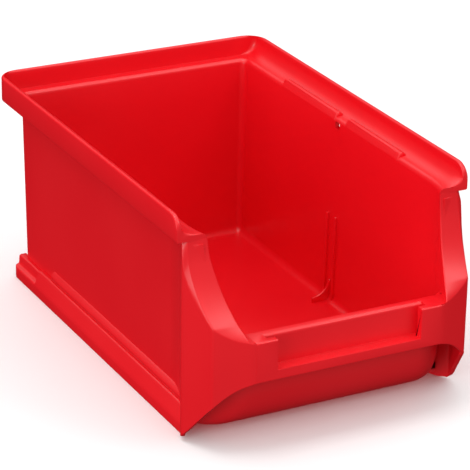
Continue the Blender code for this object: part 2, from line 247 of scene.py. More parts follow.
def make_piece(name, shapes, nodes, bevel=None, cutters=(), smooth_angle=32.0):
    """One mesh object from closed shapes in millimetres, finished and fitted to the frame."""
    built = bmesh.new()
    for shape in shapes:
        fill(built, shape)
    bmesh.ops.remove_doubles(built, verts=built.verts, dist=0.004 * MM)
    bmesh.ops.dissolve_degenerate(built, edges=built.edges, dist=0.002 * MM)
    bmesh.ops.recalc_face_normals(built, faces=built.faces)
    piece = new_object(name, built)
    for cutter in cutters:
        cut = piece.modifiers.new("Cut", "BOOLEAN")
        cut.operation = "DIFFERENCE"
        cut.solver = "EXACT"
        cut.object = cutter
    if bevel:
        ease = piece.modifiers.new("Edges", "BEVEL")
        ease.width = bevel
        ease.segments = 3
        ease.limit_method = "ANGLE"
        ease.angle_limit = math.radians(35)
        ease.use_clamp_overlap = True
    piece = as_plain_mesh(piece)
    for cutter in cutters:
        bpy.data.objects.remove(cutter, do_unlink=True)
    shade(piece, smooth_angle)
    piece.data.materials.clear()
    piece.data.materials.append(moulded_plastic())
    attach(piece, "root")
    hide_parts(*nodes)
    return piece


def as_plain_mesh(piece):
    """The evaluated shape as plain mesh data, with no modifiers left."""
    graph = bpy.context.evaluated_depsgraph_get()
    data = bpy.data.meshes.new_from_object(piece.evaluated_get(graph))
    data.name = piece.name
    piece.modifiers.clear()
    piece.data = data
    return piece


def shade(piece, angle):
    """Smooth shading that breaks only at real edges."""
    built = bmesh.new()
    built.from_mesh(piece.data)
    for face in built.faces:
        face.smooth = True
    for edge in built.edges:
        if len(edge.link_faces) == 2:
            edge.smooth = edge.calc_face_angle(0.0) < math.radians(angle)
    built.to_mesh(piece.data)
    built.free()


def cutter_mesh(shape):
    """A hidden object, from a closed shape, used to cut a piece."""
    built = bmesh.new()
    fill(built, shape)
    bmesh.ops.recalc_face_normals(built, faces=built.faces)
    cutter = new_object("cutter", built)
    cutter.hide_render = True
    return cutter


def cutter_box(low, high, round_off=0.0):
    """A hidden box used to cut a piece."""
    built = bmesh.new()
    bmesh.ops.create_cube(built, size=1.0)
    low, high = Vector(low), Vector(high)
    bmesh.ops.scale(built, vec=(high - low) * MM, verts=built.verts)
    bmesh.ops.translate(built, vec=(high + low) * MM / 2, verts=built.verts)
    if round_off:
        bmesh.ops.bevel(built, geom=built.edges, offset=round_off * MM, segments=3,
                        affect="EDGES", profile=0.5)
    cutter = new_object("cutter", built)
    cutter.hide_render = True
    return cutter


def both(*stems):
    """The left and right node names for each stem."""
    return [side + "_" + stem for stem in stems for side in ("left", "right")]


# ---------------------------------------------------------------- tub surfaces
def height_share(z):
    """How far up the wall z is, from the floor at 0 to the ledge at 1."""
    return (z - FLOOR_HIGH.z) / (LEDGE_LOW.z - FLOOR_HIGH.z)


def inner_x(z):
    """Half width inside the side walls at height z."""
    return blend(DRAFT_X[0], DRAFT_X[1], height_share(z))


def inner_y(z):
    """Inside of the back wall at height z."""
    return blend(DRAFT_Y[0], DRAFT_Y[1], height_share(z))


def post_line(y):
    """Plan line of the corner post's inner face."""
    return POST_REAR[0] + POST_SLOPE * (y - POST_REAR[1])


def soft_min(a, b, width):
    """The smaller of two values, with a soft change from one to the other."""
    h = max(width - abs(a - b), 0.0) / width
    return min(a, b) - h * h * width / 4


def side_x(y, z):
    """Half width of the inside at y, z: side wall, softly bent into the corner post."""
    return soft_min(inner_x(z), post_line(y), POST_BEND)


def nose_top(y):
    """Height of the rim lip near its rounded front end."""
    run = min(max(LIP_LOW.y + RIM_NOSE_R - y, 0.0), RIM_NOSE_R)
    return LIP_HIGH.z - RIM_NOSE_R + math.sqrt(RIM_NOSE_R * RIM_NOSE_R - run * run)


def rim_section(sizes):
    """Outline of wall, ledge and lip as (half width, back position, corner radius, z, group)."""
    outline = []
    floor_r = sizes.floor_fillet / MM
    edge_r = sizes.ledge_round / MM
    fillet = sizes.lip_fillet / MM
    for t in ramp(6):
        a = math.radians(90 * t)
        inset, z = floor_r * (1 - math.sin(a)), FLOOR_HIGH.z + floor_r * (1 - math.cos(a))
        outline.append((inner_x(z) - inset, inner_y(z) - inset,
                        max(TUB_CORNER_IN - inset, 0.25), z, "in"))
    top = LEDGE_HIGH.z - edge_r
    for t in ramp(6)[1:]:
        z = blend(FLOOR_HIGH.z + floor_r, top, t)
        outline.append((inner_x(z), inner_y(z), TUB_CORNER_IN, z, "in"))
    x0, y0 = inner_x(top), inner_y(top)
    lip_x, lip_y = LIP_LOW.x, BACK_Y - (LIP_HIGH.x - LIP_LOW.x)
    for t in ramp(5)[1:]:
        a = math.radians(90 * t)
        run = edge_r * (1 - math.cos(a))
        outline.append((x0 + run, y0 + run, TUB_CORNER_IN, top + edge_r * math.sin(a), "ledge"))
    # the fillet along the sides runs out against the flat inside of the back lip
    for t in ramp(8):
        a = math.radians(90 * t)
        outline.append((lip_x - fillet + fillet * math.sin(a), lip_y - 0.25 * (t == 0),
                        LIP_CORNER_IN, LEDGE_HIGH.z + fillet * (1 - math.cos(a)), "ledge"))
    # lip: rounded top edges, outside face and bottom edge
    r = 0.75
    out_x, out_y = LIP_HIGH.x, BACK_Y
    for t in ramp(4):
        a = math.radians(180 - 90 * t)
        x, z = lip_x + r + r * math.cos(a), LIP_HIGH.z - r + r * math.sin(a)
        outline.append((x, out_y - (out_x - x), blend(LIP_CORNER_IN, 6.4, 1 + math.cos(a)), z,
                        "lip"))
    for t in ramp(4):
        a = math.radians(90 - 90 * t)
        x, z = out_x - r + r * math.cos(a), LIP_HIGH.z - r + r * math.sin(a)
        outline.append((x, out_y - (out_x - x), LIP_CORNER_OUT - (out_x - x), z, "lip"))
    r = 0.5
    for t in ramp(3):
        a = math.radians(-90 * t)
        x, z = out_x - r + r * math.cos(a), LIP_LOW.z + r + r * math.sin(a)
        outline.append((x, out_y - (out_x - x), LIP_CORNER_OUT - (out_x - x), z, "under"))
    # underside of the ledge, hollow corner and outside of the wall
    wall_x, wall_y = inner_x(LIP_LOW.z) + WALL, inner_y(LIP_LOW.z) + WALL
    r = 1.0
    for t in ramp(3):
        a = math.radians(90 + 90 * t)
        inset_x, z = r + r * math.cos(a), LIP_LOW.z - r + r * math.sin(a)
        outline.append((wall_x + inset_x, wall_y + inset_x, TUB_CORNER_OUT + inset_x, z,
                        "under"))
    for t in ramp(5)[1:]:
        z = blend(LIP_LOW.z - r, FLOOR_LOW.z + floor_r, t)
        outline.append((inner_x(z) + WALL, inner_y(z) + WALL, TUB_CORNER_OUT, z, "out"))
    for t in ramp(5)[1:]:
        a = math.radians(90 * t)
        z = FLOOR_LOW.z + floor_r * (1 - math.sin(a))
        inset = floor_r * (1 - math.cos(a))
        outline.append((inner_x(z) + WALL - inset, inner_y(z) + WALL - inset,
                        max(TUB_CORNER_OUT - inset, 0.3), z, "out"))
    return outline


def wall_foot(y):
    """How far the side wall is cut up from below where the curved nose takes over."""
    return eased(WALL_FOOT, y)


def tub_rings(sizes):
    """Rings of the wall and rim from the right front end, round the back, to the left."""
    section = rim_section(sizes)
    front = LIP_LOW.y
    stations = [front, front + 0.15, front + 0.5, front + 1.1, front + 2.0, front + 3.4,
                front + 5.0, -54.0, -50.0, -48.0, -46.0, -38.0, -28.0, -14.0, 0.0, 20.0, 40.0,
                60.0]
    rings = []
    for y in stations:
        ring = []
        foot = wall_foot(y)
        for x, back, radius, z, group in section:
            if z < foot:
                x = inner_x(foot) + (0.0 if group == "in" else WALL)
                z = foot
            if group == "in":
                x = min(x, side_x(y, z))
            if group == "ledge":
                reach = min(1.0, (LIP_LOW.x - x) / (LIP_LOW.x - 44.2))
                x += (side_x(y, LEDGE_LOW.z) - inner_x(LEDGE_LOW.z)) * reach
            if z > LEDGE_HIGH.z:
                lift = (nose_top(y) - LEDGE_HIGH.z) / (LIP_HIGH.z - LEDGE_HIGH.z)
                z = LEDGE_HIGH.z + (z - LEDGE_HIGH.z) * lift
            ring.append(Vector((x, y, z)))
        rings.append(ring)
    for t in ramp(10):
        a = math.radians(90 * t)
        rings.append([Vector((x - r + r * math.cos(a), back - r + r * math.sin(a), z))
                      for x, back, r, z, group in section])
    for share in (0.6, 0.3, 0.0):
        rings.append([Vector(((x - r) * share, back, z)) for x, back, r, z, group in section])
    return mirrored(rings)


# ---------------------------------------------------------------- nose of the tub
def belly_front(z, radius, top_y):
    """How far forward the belly reaches at height z."""
    centre_z = FLOOR_LOW.z + BELLY_R
    if z < centre_z:
        return BELLY_CY - math.sqrt(max(radius ** 2 - (centre_z - z) ** 2, 0.0))
    share = (z - centre_z) / (FRAME_HIGH.z - centre_z)
    return blend(BELLY_CY - radius, top_y, share)


def nose_line(z, inside):
    """Plan line of the nose at height z, from the side wall round to the middle of the front."""
    radius = BELLY_R - (WALL if inside else 0.0)
    corner = eased(NOSE_CORNER_IN, z) if inside else NOSE_CORNER_OUT
    front = belly_front(z, radius, BELLY_TOP_Y + (WALL if inside else 0.0))
    base = FLOOR_HIGH.z if inside else FLOOR_LOW.z
    rise = min(z - base, NOSE_FOOT_R)
    tuck = NOSE_FOOT_R - math.sqrt(max(NOSE_FOOT_R ** 2 - (NOSE_FOOT_R - rise) ** 2, 0.0))
    nudge = 0.03 if inside else WALL - 0.03

    def half(y):
        return side_x(y, z) + nudge - tuck

    line = [(half(y), y) for y in [blend(-40.0, front + corner, t) for t in ramp(9)]]
    for t in ramp(10)[1:]:
        a = math.radians(90 * t)
        y = front + corner * (1 - math.sin(a))
        line.append((half(y) - corner * (1 - math.cos(a)), y))
    end = line[-1][0]
    line += [(end * s, front) for s in (0.75, 0.5, 0.25, 0.0)]
    return [Vector((x, y, z)) for x, y in line]


def nose_skin(base, radius, inside):
    """Plan lines up one face of the nose, close together round its curved foot."""
    heights = [base + radius * (1 - math.cos(math.radians(90 * t))) for t in ramp(14)]
    return [nose_line(z, inside) for z in heights + [25.0, 31.0, FRAME_HIGH.z - 0.25]]


def nose_shape():
    """Closed shell of the curved front wall with its rounded lower corners."""
    inside = nose_skin(FLOOR_HIGH.z, BELLY_R - WALL, True)
    outside = nose_skin(FLOOR_LOW.z, BELLY_R, False)
    rings = [[line[i] for line in inside] + [line[i] for line in outside[::-1]]
             for i in range(len(inside[0]))]
    return loft(mirrored(rings))


def floor_shape():
    """Floor slab, its edges hidden under the fillets and the nose."""
    x = inner_x(FLOOR_HIGH.z) - 1.2
    low, high = FLOOR_LOW.z + 0.02, FLOOR_HIGH.z
    corners = [(x, -54.4), (x, 72.2), (-x, 72.2), (-x, -54.4)]
    return loft([[(px, py, low) for px, py in corners], [(px, py, high) for px, py in corners]])


# ---------------------------------------------------------------- front corners
SKIRT_ROOT = (32.4, -79.95)     # plan line of the skirt, from inside the label panel
PANEL_END = (33.1, -79.9)
KNUCKLE = (45.0, -75.0)
CREASE = (49.4, -62.0)
FLARE_START_Y = -42.0           # the flare leaves the side wall here
FACET_LENGTH = 13.5             # plan length of one step of progress along the skirt
CORNER_CUT = {1.0: 0.7, 2.0: 1.2}       # how much the knuckle and the crease are rounded
POST_OUT = Vector((0.935, -0.356, 0.0))         # outwards from the post and from the side wall
SIDE_OUT = Vector((1.0, 0.0, 0.0))
DOWN_ONE_WALL = Vector((0.0, 0.0, -WALL))

# along the skirt: 0 at the panel, 1 at the knuckle, 2 at the rear crease, 3 where the flare ends
SKIRT_TOP = [(0.0, 37.2), (0.36, 38.0), (0.82, 40.6), (1.15, 44.2), (1.5, 49.8), (1.85, 58.2),
             (1.94, 62.4), (2.0, 66.6)]
SKIRT_FOOT = [(0.0, 23.7), (0.36, 21.9), (1.0, 15.6), (1.5, 8.4), (2.0, 1.5), (2.2, 0.4),
              (3.0, 0.5)]
FLANGE_Y = [(0.0, -79.25), (0.36, -78.8), (0.6, -77.8), (1.0, -74.7), (1.5, -68.9), (1.85, -64.7),
            (1.94, -63.2), (2.0, -62.42)]
FLANGE_Z = [(0.0, 37.25), (0.36, 38.2), (0.6, 39.3), (1.0, 42.3), (1.5, 50.0), (1.85, 58.2),
            (1.94, 62.2), (2.0, 66.6)]
# slanted band along the flange's outer edge: how far it cuts into the flange and down the skirt
BAND_IN = [(0.0, 0.2), (1.0, 0.2), (1.26, 0.3), (1.5, 0.5), (1.7, 0.9), (1.85, 1.2), (2.0, 1.7),
           (2.1, 0.6)]
BAND_DOWN = [(0.0, 0.3), (1.0, 0.5), (1.26, 0.9), (1.5, 1.6), (1.7, 2.6), (1.85, 3.4), (2.0, 3.6),
             (2.1, 0.6)]
CHEEK_THICK = [(0.0, 0.05), (0.36, 0.1), (0.82, 0.8), (1.1, 1.5)]
SKIRT_THICK = [(0.0, 0.4), (0.36, 0.5), (0.82, 1.2), (1.1, 1.5)]


def flare_point(share, z):
    """Outside of the concave flare: tangent to the side wall, out to the rear crease."""
    wall = inner_x(z) + WALL - 0.06
    return wall + (CREASE[0] - wall) * (1 - share) ** 2.3, blend(CREASE[1], FLARE_START_Y, share)


def skirt_stations():
    """(progress, plan point at the top, plan point at the foot) round the corner."""
    marks = [i / 7 for i in range(8)] + [1 + i / 9 for i in range(1, 10)]
    stations = [(-0.05, Vector(SKIRT_ROOT), Vector(SKIRT_ROOT))]
    for u in marks:
        if u <= 1:
            point = Vector(PANEL_END).lerp(Vector(KNUCKLE), u)
        else:
            point = Vector(KNUCKLE).lerp(Vector(CREASE), u - 1)
        stations.append((u, point, point))
    for share in ramp(12)[1:]:
        stations.append((2 + share, Vector(flare_point(share, LEDGE_LOW.z)),
                         Vector(flare_point(share, 1.0))))
    return stations


def ease_creases(stations):
    """Round the knuckle and the rear crease in plan."""
    eased_list = []
    for i, (u, top, foot) in enumerate(stations):
        cut = CORNER_CUT.get(round(u, 3), 0.0)
        if cut == 0.0:
            eased_list.append((u, top, foot))
            continue
        for t in ramp(4):
            row = []
            for which in (1, 2):
                corner = stations[i][which]
                before = (stations[i - 1][which] - corner).normalized() * cut
                after = (stations[i + 1][which] - corner).normalized() * cut
                row.append((corner + before) * (1 - t) ** 2 + corner * 2 * t * (1 - t)
                           + (corner + after) * t * t)
            shift = (t - 0.5) * 2 * cut / FACET_LENGTH
            eased_list.append((u + shift, row[0], row[1]))
    return eased_list


def corner_shape():
    """Post cheek, flange, skirt and flare of the right front corner as one bent wall."""
    rings = []
    stations = ease_creases(skirt_stations())
    for i, (u, top, foot) in enumerate(stations):
        before, after = stations[max(i - 1, 0)], stations[min(i + 1, len(stations) - 1)]
        along = (after[1] - before[1]).normalized()
        inwards = Vector((-along.y, along.x))
        top_z, foot_z = eased(SKIRT_TOP, u), eased(SKIRT_FOOT, u)
        if u <= 2.0:
            y, z = eased(FLANGE_Y, u), eased(FLANGE_Z, u)
            inner = Vector((side_x(y, z), y, z))
            cheek_z, thick = FRAME_HIGH.z - 0.8, eased(CHEEK_THICK, u)
        else:
            y = max(top.y, -61.9 + (u - 2.0) * 8)
            inner = Vector((side_x(y, 66.0) + 0.35, y, LEDGE_LOW.z + 0.5))
            cheek_z, thick, top_z = 60.0, 1.0, LEDGE_LOW.z + 0.5
        outer = Vector((top.x, top.y, top_z))
        across = outer - inner
        width = max(Vector((across.x, across.y)).length, 0.2)
        skirt = min(eased(SKIRT_THICK, u), 0.42 * width)
        cheek = (POST_OUT if u <= 2.0 else SIDE_OUT) * thick
        inset = Vector((inwards.x, inwards.y, 0.0)) * skirt
        low = Vector((foot.x, foot.y, foot_z))
        band_in = min(eased(BAND_IN, u), 0.4 * across.length)
        crease = outer + (inner - outer).normalized() * band_in
        edge = outer + (low - outer).normalized() * eased(BAND_DOWN, u)
        corners = [
            Vector((side_x(inner.y, cheek_z) if u <= 2.0 else inner.x, inner.y, cheek_z)),
            inner,
            crease,
            edge,
            low,
            low + inset,
            outer + inset + DOWN_ONE_WALL,
            inner + cheek + DOWN_ONE_WALL,
            Vector((inner.x, inner.y, cheek_z)) + cheek,
        ]
        radii = [0, 0.7, 0.35, 0.9, 0.4, 0.4, 0.6, 0.6, 0]
        rings.append(rounded(corners, radii, 4))
    return loft(rings)


# ---------------------------------------------------------------- front lip and panel
def front_shape():
    """Lip top and label holder before the pocket is cut, as one section across the front."""
    corners = [(BELLY_TOP_Y + WALL, FRAME_HIGH.z - 2.2), (BELLY_TOP_Y + WALL, FRAME_HIGH.z),
               (FRAME_LOW.y, FRAME_HIGH.z), (FRAME_LOW.y, FRAME_LOW.z),
               (PANEL_HIGH.y, FRAME_LOW.z), (PANEL_HIGH.y, FRAME_HIGH.z - WALL - 0.6),
               (BELLY_TOP_Y, FRAME_HIGH.z - 2.2)]
    section = rounded([(0.0, y, z) for y, z in corners], [0, 0.6, 0.6, 0.5, 0.4, 0, 0], 4)
    half = PANEL_HIGH.x + 0.4
    return loft([[Vector((x, p.y, p.z)) for p in section] for x in (half, 0.0, -half)])


def lip_end_shape():
    """Lip top between the label holder and the post's inner face."""
    z0, z1 = FRAME_HIGH.z - WALL, FRAME_HIGH.z - 0.02
    back, front = BELLY_TOP_Y + WALL - 0.05, FRAME_LOW.y + 0.55
    plan = [(28.0, back), (post_line(back) + 0.7, back), (35.15, -78.6), (33.6, -79.2),
            (28.0, front)]
    rings = [[(x, y, z0) for x, y in plan], [(x, y, z1 - 0.4) for x, y in plan]]
    for t in ramp(4)[1:]:
        a = math.radians(90 * t)
        y = back - 0.5 * (1 - math.cos(a))
        rings.append([(px, min(py, y), z1 - 0.4 + 0.4 * math.sin(a)) for px, py in plan])
    return loft(rings)


def pocket_cutter(half, y_front, y_back, edge):
    """The space behind the label frame, its back edge rounded over the top of the lip."""
    top = FRAME_HIGH.z
    section = [(y_front, RECESS_FLOOR), (y_front, top + 3.0), (y_back + edge + 0.3, top + 3.0),
               (y_back + edge + 0.3, top + 0.001)]
    for t in ramp(6):
        a = math.radians(90 + 90 * t)
        section.append((y_back + edge + edge * math.cos(a), top - edge + edge * math.sin(a)))
    section.append((y_back, RECESS_FLOOR))
    shape = loft([[(x, y, z) for y, z in section] for x in (-half, half)])
    return cutter_mesh(shape)


# ---------------------------------------------------------------- rails, beads, ribs, hook
def run_along(section, y0, y1, radii, tail=0.5, lift=0.0):
    """A closed section in X and Z run from y0 to y1, side and foot rounded off towards y1."""
    outline = rounded([(x, 0.0, z) for x, z in section], radii, 3)
    reach = max(p.x for p in outline)
    rings = [[Vector((p.x, y0, p.z)) for p in outline]]
    for t in ramp(5):
        a = math.radians(90 * t)
        limit = reach - 0.5 * tail * (1 - math.cos(a))
        sole = lift * (1 - math.cos(a))
        y = y1 - tail + tail * math.sin(a)
        rings.append([Vector((min(p.x, limit), y, max(p.z, sole))) for p in outline])
    return loft(rings)


def rail_shapes():
    """Foot, sloping runner and shoulder along the bottom of the right side wall."""
    hidden = inner_x(5.0) + 0.8
    foot = [(hidden, 1.8), (RAIL_HIGH.x - 1.2, 1.8), (RAIL_HIGH.x - 1.2, 0.0), (RAIL_HIGH.x, 0.0),
            (RAIL_HIGH.x, 3.7), (RAIL_HIGH.x - 0.6, 4.2), (45.3, 4.4), (45.1, 7.3),
            (44.6, 7.7), (hidden, 7.7)]
    runner = [(hidden, 3.0), (RAIL_HIGH.x - 0.1, 3.0), (RAIL_HIGH.x - 0.1, 3.9), (45.4, 8.2),
              (44.7, 8.5), (hidden, 8.5)]
    shoulder = [(hidden, 8.0), (44.4, 8.0), (44.6, 8.9), (45.0, 9.6), (44.8, 10.4),
                (43.4, 11.8), (hidden, 12.0)]
    front = RAIL_LOW.y - RAIL_LEAD
    return [run_along(foot, front, RAIL_HIGH.y, [0, 0.2, 0.2, 0.35, 0.6, 0.6, 0.6, 0.3, 0.3, 0],
                      2.8, 2.4),
            run_along(runner, front, RUNNER_BACK_Y, [0, 0.1, 0.4, 0.6, 0.4, 0]),
            run_along(shoulder, SHOULDER_LOW.y, SHOULDER_HIGH.y - SHOULDER_FADE,
                      [0, 0.2, 0.5, 0.5, 0.6, 0.6, 0], 1.2)]


def bead_shape(node):
    """A guide bead on the ledge's edge, with rounded ends."""
    low, high = span(node)
    rings = [(low.y, 0.0), (low.y + 0.1, 0.45), (low.y + 0.35, 0.8), (low.y + 0.8, 1.0),
             (high.y - 0.8, 1.0), (high.y - 0.35, 0.8), (high.y - 0.1, 0.45), (high.y, 0.0)]
    x0 = inner_x(66.0)
    shape = []
    for y, grow in rings:
        crest = blend(LEDGE_HIGH.z - 0.35, high.z, grow)
        corners = [(x0 + 0.9, y, 66.9), (x0 + 0.02, y, 66.9), (x0 + 0.02, y, 67.3),
                   (x0 + 1.2, y, crest - 0.15), (x0 + 2.1, y, crest),
                   (x0 + 3.0, y, crest - 0.45 * grow), (x0 + 4.2, y, 68.1)]
        shape.append(rounded(corners, [0, 0, 0.5, 0.5, 0.6, 0.6, 0], 3))
    return loft(shape)


def hook_shape():
    """Turned-down lip under the back rim."""
    rings = []
    for x in (HOOK_HIGH.x, HOOK_HIGH.x - 1.5, HOOK_HIGH.x - 4.0, 0.0):
        foot = HOOK_LOW.z + eased([(HOOK_HIGH.x - 4.0, 0.0), (HOOK_HIGH.x, 2.6)], x)
        corners = [(x, HOOK_LOW.y, LIP_LOW.z + 0.6), (x, HOOK_LOW.y, foot), (x, HOOK_HIGH.y, foot),
                   (x, HOOK_HIGH.y, LIP_LOW.z + 0.8)]
        rings.append(rounded(corners, [0, 0.5, 0.5, 0], 4))
    return loft(mirrored(rings))


def foot_fin_shape():
    """Concave fin at the foot of the divider slot."""
    low, high = span("right_divider_foot")
    wall_x = inner_x(4.0) + 0.6
    reach = high.x - low.x
    corners = [(wall_x, FLOOR_HIGH.z - 0.3), (low.x, FLOOR_HIGH.z - 0.3)]
    for t in ramp(10):
        a = math.radians(270 + 82 * t)
        corners.append((low.x + reach * math.cos(a),
                        FLOOR_HIGH.z + 1.9 + reach * (1 + math.sin(a))))
    corners.append((wall_x, corners[-1][1]))
    return loft([[(x, y, z) for x, z in corners] for y in (low.y, high.y)])


# ---------------------------------------------------------------- materials
def number_input(tree, name, default):
    """A named number among a node group's inputs."""
    socket = tree.interface.new_socket(name=name, in_out="INPUT", socket_type="NodeSocketFloat")
    socket.default_value = default
    return socket


def mould_grain_group():
    """Shader group: fine mould texture, slow sink marks and a mask for smoother patches."""
    name = "Mould Grain"
    if name in bpy.data.node_groups:
        return bpy.data.node_groups[name]
    tree = bpy.data.node_groups.new(name, "ShaderNodeTree")
    number_input(tree, "Grain Scale", 2800.0)
    number_input(tree, "Sink Scale", 28.0)
    tree.interface.new_socket(name="Height", in_out="OUTPUT", socket_type="NodeSocketFloat")
    tree.interface.new_socket(name="Patches", in_out="OUTPUT", socket_type="NodeSocketFloat")
    nodes, links = tree.nodes, tree.links
    inputs = nodes.new("NodeGroupInput")
    outputs = nodes.new("NodeGroupOutput")
    where = nodes.new("ShaderNodeTexCoord")
    grain = nodes.new("ShaderNodeTexNoise")
    grain.inputs["Detail"].default_value = 3.0
    grain.inputs["Roughness"].default_value = 0.55
    sink = nodes.new("ShaderNodeTexNoise")
    sink.inputs["Detail"].default_value = 2.0
    for noise, scale in ((grain, "Grain Scale"), (sink, "Sink Scale")):
        links.new(where.outputs["Object"], noise.inputs["Vector"])
        links.new(inputs.outputs[scale], noise.inputs["Scale"])
    slow = nodes.new("ShaderNodeMath")
    slow.operation = "MULTIPLY"
    slow.inputs[1].default_value = 1.6
    links.new(sink.outputs["Fac"], slow.inputs[0])
    height = nodes.new("ShaderNodeMath")
    height.operation = "ADD"
    links.new(grain.outputs["Fac"], height.inputs[0])
    links.new(slow.outputs[0], height.inputs[1])
    patches = nodes.new("ShaderNodeMapRange")
    patches.interpolation_type = "SMOOTHERSTEP"
    patches.inputs["From Min"].default_value = 0.2
    patches.inputs["From Max"].default_value = 0.8
    links.new(sink.outputs["Fac"], patches.inputs["Value"])
    links.new(height.outputs[0], outputs.inputs["Height"])
    links.new(patches.outputs["Result"], outputs.inputs["Patches"])
    return tree


def moulded_plastic():
    """Semi-gloss self-coloured polypropylene."""
    name = "moulded_red_polypropylene"
    if name in bpy.data.materials:
        return bpy.data.materials[name]
    plastic = bpy.context.scene.parts_bin_plastic
    material = bpy.data.materials.new(name)
    material.use_nodes = True
    nodes, links = material.node_tree.nodes, material.node_tree.links
    shader = nodes["Principled BSDF"]
    shader.inputs["IOR"].default_value = 1.49
    shader.inputs["Specular IOR Level"].default_value = 0.45
    grain = nodes.new("ShaderNodeGroup")
    grain.node_tree = mould_grain_group()
    grain.inputs["Grain Scale"].default_value = 1.0 / plastic.grain
    grain.inputs["Sink Scale"].default_value = 26.0
    colour = nodes.new("ShaderNodeMix")
    colour.data_type = "RGBA"
    colour.inputs["A"].default_value = (*plastic.red, 1.0)
    colour.inputs["B"].default_value = (*plastic.red_thin, 1.0)
    links.new(grain.outputs["Patches"], colour.inputs["Factor"])
    links.new(colour.outputs["Result"], shader.inputs["Base Color"])
    rough = nodes.new("ShaderNodeMapRange")
    rough.inputs["To Min"].default_value = plastic.roughness - 0.01
    rough.inputs["To Max"].default_value = plastic.roughness + 0.04
    links.new(grain.outputs["Patches"], rough.inputs["Value"])
    links.new(rough.outputs["Result"], shader.inputs["Roughness"])
    bump = nodes.new("ShaderNodeBump")
    bump.inputs["Strength"].default_value = 0.12
    bump.inputs["Distance"].default_value = 0.02 * MM
    links.new(grain.outputs["Height"], bump.inputs["Height"])
    links.new(bump.outputs["Normal"], shader.inputs["Normal"])
    return material


def paper_material():
    """Matt, nearly white sweep under the bin."""
    material = bpy.data.materials.new("studio_sweep")
    material.use_nodes = True
    nodes, links = material.node_tree.nodes, material.node_tree.links
    shader = nodes["Principled BSDF"]
    shader.inputs["Roughness"].default_value = 0.85
    where = nodes.new("ShaderNodeTexCoord")
    noise = nodes.new("ShaderNodeTexNoise")
    noise.inputs["Scale"].default_value = 3.0
    tone = nodes.new("ShaderNodeMapRange")
    tone.inputs["To Min"].default_value = 0.93
    tone.inputs["To Max"].default_value = 0.96
    links.new(where.outputs["Object"], noise.inputs["Vector"])
    links.new(noise.outputs["Fac"], tone.inputs["Value"])
    links.new(tone.outputs["Result"], shader.inputs["Base Color"])
    return material


def studio_world():
    """Soft tent light: bright from above, dim from below, with its own tones in the gloss."""
    world = bpy.data.worlds.new("studio_tent")
    world.use_nodes = True
    nodes, links = world.node_tree.nodes, world.node_tree.links
    background = nodes["Background"]
    background.inputs["Color"].default_value = (1.0, 1.0, 1.0, 1.0)
    where = nodes.new("ShaderNodeTexCoord")
    axes = nodes.new("ShaderNodeSeparateXYZ")
    links.new(where.outputs["Generated"], axes.inputs[0])

    def band(axis, start, stop, low, high):
        tone = nodes.new("ShaderNodeMapRange")
        tone.interpolation_type = "SMOOTHSTEP"
        for label, value in (("From Min", start), ("From Max", stop), ("To Min", low),
                             ("To Max", high)):
            tone.inputs[label].default_value = value
        links.new(axes.outputs[axis], tone.inputs["Value"])
        return tone.outputs["Result"]

    def pick(ray, when_not, when):
        switch = nodes.new("ShaderNodeMix")
        links.new(path.outputs[ray], switch.inputs["Factor"])
        links.new(when_not, switch.inputs["A"])
        if isinstance(when, float):
            switch.inputs["B"].default_value = when
        else:
            links.new(when, switch.inputs["B"])
        return switch.outputs["Result"]

    path = nodes.new("ShaderNodeLightPath")
    gloss = nodes.new("ShaderNodeMath")
    gloss.operation = "ADD"
    links.new(band("Z", 0.40, 0.85, 0.01, 2.6), gloss.inputs[0])
    links.new(band("Y", -0.50, -0.90, 0.0, 0.16), gloss.inputs[1])
    lit = pick("Is Glossy Ray", band("Z", -0.3, 0.5, 0.41, 1.0), gloss.outputs[0])
    links.new(pick("Is Camera Ray", lit, 1.0), background.inputs["Strength"])
    return world


# ---------------------------------------------------------------- operators
class PARTSBIN_OT_tub(bpy.types.Operator):
    """Build the tub: walls, rim, floor and the curved nose"""
    bl_idname = "parts_bin.tub"
    bl_label = "Tub and Rim"

    def execute(self, context):
        sizes = context.scene.parts_bin_sizes
        holes = [cutter_box((x - 5.0, HOLE_Y[0], HOLE_Z[0]), (x + 5.0, HOLE_Y[1], HOLE_Z[1]), 0.7)
                 for x in (-46.0, 46.0)]
        make_piece("tub_and_rim", [loft(tub_rings(sizes))],
                   ["back_wall", "back_rim_lip", "back_rim_ledge",
                    *both("side_wall", "rim_lip", "rim_ledge")], cutters=holes)
        make_piece("floor_and_nose", [floor_shape(), nose_shape()],
                   ["floor_pan", "front_belly_wall"])
        return {"FINISHED"}


class PARTSBIN_OT_corners(bpy.types.Operator):
    """Build the front corners: posts, flanges, skirts and flares"""
    bl_idname = "parts_bin.corners"
    bl_label = "Front Corners"

    def execute(self, context):
        corner = corner_shape()
        for side, shape in (("right", corner), ("left", flipped(corner))):
            make_piece(side + "_front_corner", [shape],
                       [side + "_corner_post", side + "_post_flange", side + "_corner_skirt",
                        side + "_corner_flare"], smooth_angle=40.0)
        return {"FINISHED"}


class PARTSBIN_OT_front(bpy.types.Operator):
    """Build the front lip and the label holder with its pocket"""
    bl_idname = "parts_bin.front"
    bl_label = "Lip and Label Holder"

    def execute(self, context):
        sizes = context.scene.parts_bin_sizes
        frame_back = FRAME_HIGH.y
        pocket = pocket_cutter(POCKET_HALF, frame_back, PANEL_LOW.y, 1.1)
        window = cutter_box((-RECESS_HALF, FRAME_LOW.y - 4.0, RECESS_FLOOR),
                            (RECESS_HALF, frame_back + 0.5, FRAME_HIGH.z + 5.0))
        make_piece("front_lip_and_label_holder", [front_shape()],
                   ["front_lip", "label_panel", "label_pocket", "label_frame"],
                   bevel=sizes.edge_round * 0.8, cutters=[pocket, window])
        end = lip_end_shape()
        make_piece("lip_ends", [end, flipped(end)], ["front_lip"])
        return {"FINISHED"}


